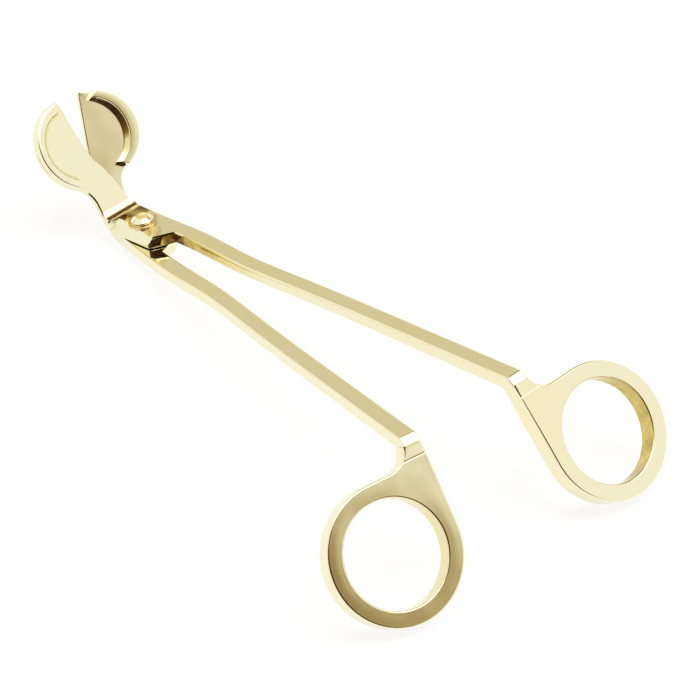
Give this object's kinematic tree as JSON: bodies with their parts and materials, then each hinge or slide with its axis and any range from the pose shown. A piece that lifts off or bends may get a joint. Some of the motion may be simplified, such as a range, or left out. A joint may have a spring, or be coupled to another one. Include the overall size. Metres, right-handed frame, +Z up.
{
  "type": "wick trimmer",
  "caption": "Scissor-action candle wick trimmer with a bent neck, half-round rimmed blades, long straight arms and two bent-down finger rings.",
  "frame": {"origin": "bottom centre of the bounding box, with the trimmer lying on its back on its neck heel and the far edges of its finger rings", "axes": "+Y along the length from the finger rings to the blades, +X across from the lower half's ring to the upper half's ring, +Z up from the surface it lies on"},
  "size_m": [0.0892, 0.1714, 0.0295],
  "materials": {
    "gold_plating": "mirror-polished pale gold plating",
    "deep_gold_plating": "polished, slightly deeper gold plating"
  },
  "bodies": {
    "lower_half": {"lower_blade": "gold_plating", "lower_blade_rim": "gold_plating", "lower_arm": "gold_plating", "lower_finger_ring": "gold_plating", "pivot_screw": "gold_plating", "pivot_washer": "deep_gold_plating", "pivot_nut": "deep_gold_plating"},
    "upper_half": {"upper_blade": "gold_plating", "upper_blade_rim": "gold_plating", "upper_arm": "gold_plating", "upper_finger_ring": "gold_plating"}
  },
  "joints": [
    {"name": "blade_pivot", "type": "hinge", "parent": "lower_half", "child": "upper_half", "pos_m": [0, 0.05428, 0.0052], "axis": [0, 0.1917, 0.9815], "range_deg": [-10.9, 13]}
  ]
}
